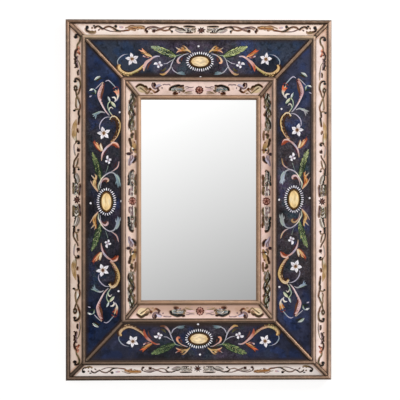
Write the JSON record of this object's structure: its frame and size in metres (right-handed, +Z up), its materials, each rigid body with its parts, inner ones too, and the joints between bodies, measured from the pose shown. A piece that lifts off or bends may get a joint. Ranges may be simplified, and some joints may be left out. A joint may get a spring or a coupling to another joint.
{
  "type": "painted glass wall mirror",
  "caption": "Rectangular wall mirror in a wide sloping wooden frame faced with painted glass strips between half-round bronzed beads, hung by hinged rings.",
  "frame": {"origin": "on the wall plane, midway between the two wall hooks that the hanger rings hang on", "axes": "+Z up along the frame's long side, +Y from the frame back into the wall, +X to the viewer's right, so the face looks along -Y"},
  "size_m": [0.59, 0.038, 0.8],
  "materials": {
    "frame_wood": "dark stained cedar, bronzed on the outer edge",
    "spline_wood": "plain hardwood",
    "cream_glass": "cream painted behind the glass, glossy",
    "navy_glass": "mottled navy painted behind the glass, glossy",
    "blush_glass": "blush painted behind the glass, glossy",
    "bronzed_bead": "bronze leaf over dark umber on turned wood",
    "mirror": "silvered glass",
    "backing_board": "plain hardboard",
    "steel": "zinc plated",
    "brass_ring": "brass plated",
    "bumper_rubber": "matt black"
  },
  "bodies": {
    "frame": {"rail_bottom": "frame_wood", "rail_right": "frame_wood", "rail_top": "frame_wood", "rail_left": "frame_wood", "mitre_splines": "spline_wood", "outer_glass_bottom": "cream_glass", "outer_glass_right": "cream_glass", "outer_glass_top": "cream_glass", "outer_glass_left": "cream_glass", "frieze_glass_bottom": "navy_glass", "frieze_glass_right": "navy_glass", "frieze_glass_top": "navy_glass", "frieze_glass_left": "navy_glass", "inner_glass_bottom": "blush_glass", "inner_glass_right": "blush_glass", "inner_glass_top": "blush_glass", "inner_glass_left": "blush_glass", "edge_bead_bottom": "bronzed_bead", "edge_bead_right": "bronzed_bead", "edge_bead_top": "bronzed_bead", "edge_bead_left": "bronzed_bead", "crest_bead_bottom": "bronzed_bead", "crest_bead_right": "bronzed_bead", "crest_bead_top": "bronzed_bead", "crest_bead_left": "bronzed_bead", "frieze_bead_bottom": "bronzed_bead", "frieze_bead_right": "bronzed_bead", "frieze_bead_top": "bronzed_bead", "frieze_bead_left": "bronzed_bead", "sight_bead_bottom": "bronzed_bead", "sight_bead_right": "bronzed_bead", "sight_bead_top": "bronzed_bead", "sight_bead_left": "bronzed_bead", "outer_mitre_bead_br": "bronzed_bead", "outer_mitre_bead_tr": "bronzed_bead", "outer_mitre_bead_tl": "bronzed_bead", "outer_mitre_bead_bl": "bronzed_bead", "frieze_mitre_bead_br": "bronzed_bead", "frieze_mitre_bead_tr": "bronzed_bead", "frieze_mitre_bead_tl": "bronzed_bead", "frieze_mitre_bead_bl": "bronzed_bead", "inner_mitre_bead_br": "bronzed_bead", "inner_mitre_bead_tr": "bronzed_bead", "inner_mitre_bead_tl": "bronzed_bead", "inner_mitre_bead_bl": "bronzed_bead", "mirror_glass": "mirror", "backing_board": "backing_board", "backing_sprigs": "steel", "hanger_strap_left": "steel", "hanger_strap_right": "steel", "hanger_screws": "brass_ring", "wall_bumpers": "bumper_rubber"},
    "left_ring": {"hanger_ring_left": "brass_ring"},
    "right_ring": {"hanger_ring_right": "brass_ring"}
  },
  "joints": [
    {"name": "left_ring_swing", "type": "hinge", "parent": "frame", "child": "left_ring", "pos_m": [-0.235, -0.00285, -0.01475], "axis": [1, 0, 0], "range_deg": [0, 176]},
    {"name": "right_ring_swing", "type": "hinge", "parent": "frame", "child": "right_ring", "pos_m": [0.235, -0.00285, -0.01475], "axis": [1, 0, 0], "range_deg": [0, 176]}
  ]
}
